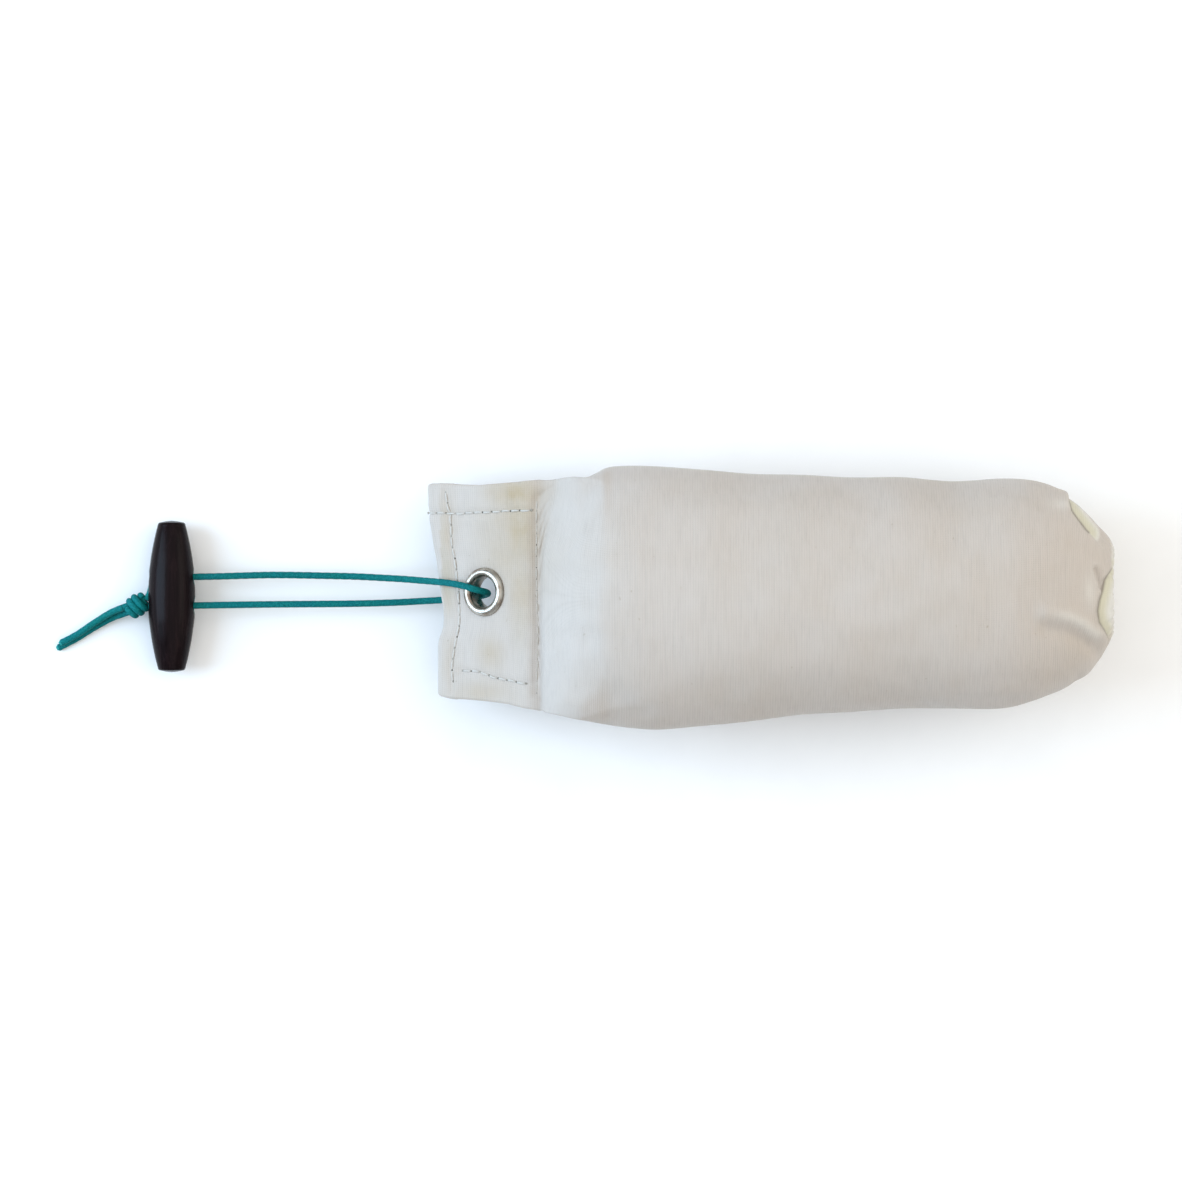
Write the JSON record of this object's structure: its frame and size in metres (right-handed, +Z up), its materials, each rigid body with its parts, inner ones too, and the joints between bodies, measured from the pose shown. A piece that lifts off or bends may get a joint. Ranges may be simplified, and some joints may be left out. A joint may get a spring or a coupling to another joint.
{
  "type": "training bumper",
  "caption": "Stuffed off-white canvas training bumper for dogs, with a stitched end flap, a metal eyelet, and a teal cord through a dark spindle toggle.",
  "frame": {"origin": "on the table, on the flat patch that the stuffed tube rests on, under the middle of the canvas part's length and width", "axes": "+X along the tube to its closed far end, with the flap, cord and toggle toward -X; +Y across the tube; +Z up from the table"},
  "size_m": [0.2806, 0.0693, 0.0612],
  "materials": {
    "canvas": "woven cotton canvas, matte",
    "lining": "plain cotton, matte",
    "filling": "loose fill, matte",
    "thread": "twisted sewing thread",
    "eyelet": "polished, slightly worn",
    "cord": "braided, slight sheen",
    "toggle": "dark stained, satin"
  },
  "bodies": {
    "bumper": {"canvas_cover": "canvas", "inner_bag": "lining", "filling": "filling", "closing_seam_thread": "thread", "closing_seam_bobbin_thread": "thread", "long_seam_thread": "thread", "end_seam_thread": "thread"},
    "flap": {"flap_upper_ply": "canvas", "flap_lower_ply": "canvas", "side_gusset_high": "canvas", "side_gusset_low": "canvas", "mouth_hem_needle_thread": "thread", "mouth_hem_bobbin_thread": "thread", "high_side_needle_thread": "thread", "high_side_bobbin_thread": "thread", "low_side_needle_thread": "thread", "low_side_bobbin_thread": "thread", "eyelet_barrel": "eyelet", "eyelet_washer": "eyelet"},
    "cord": {"cord_upper_run": "cord", "cord_lower_run": "cord", "cord_knot": "cord", "cord_tail_a": "cord", "cord_tail_b": "cord"},
    "toggle": {"toggle": "toggle"}
  },
  "joints": [
    {"name": "flap_fold", "type": "hinge", "parent": "bumper", "child": "flap", "pos_m": [-0.0632, 0, 0.03], "axis": [0, 1, 0], "range_deg": [-30, 75]},
    {"name": "cord_swing", "type": "hinge", "parent": "flap", "child": "cord", "pos_m": [-0.07465, 0.00145, 0.02168], "axis": [-0.5878, 0, 0.809], "range_deg": [-30, 30]},
    {"name": "toggle_slide", "type": "slide", "parent": "cord", "child": "toggle", "axis": [1, 0, 0], "range_m": [0, 0.038]}
  ]
}
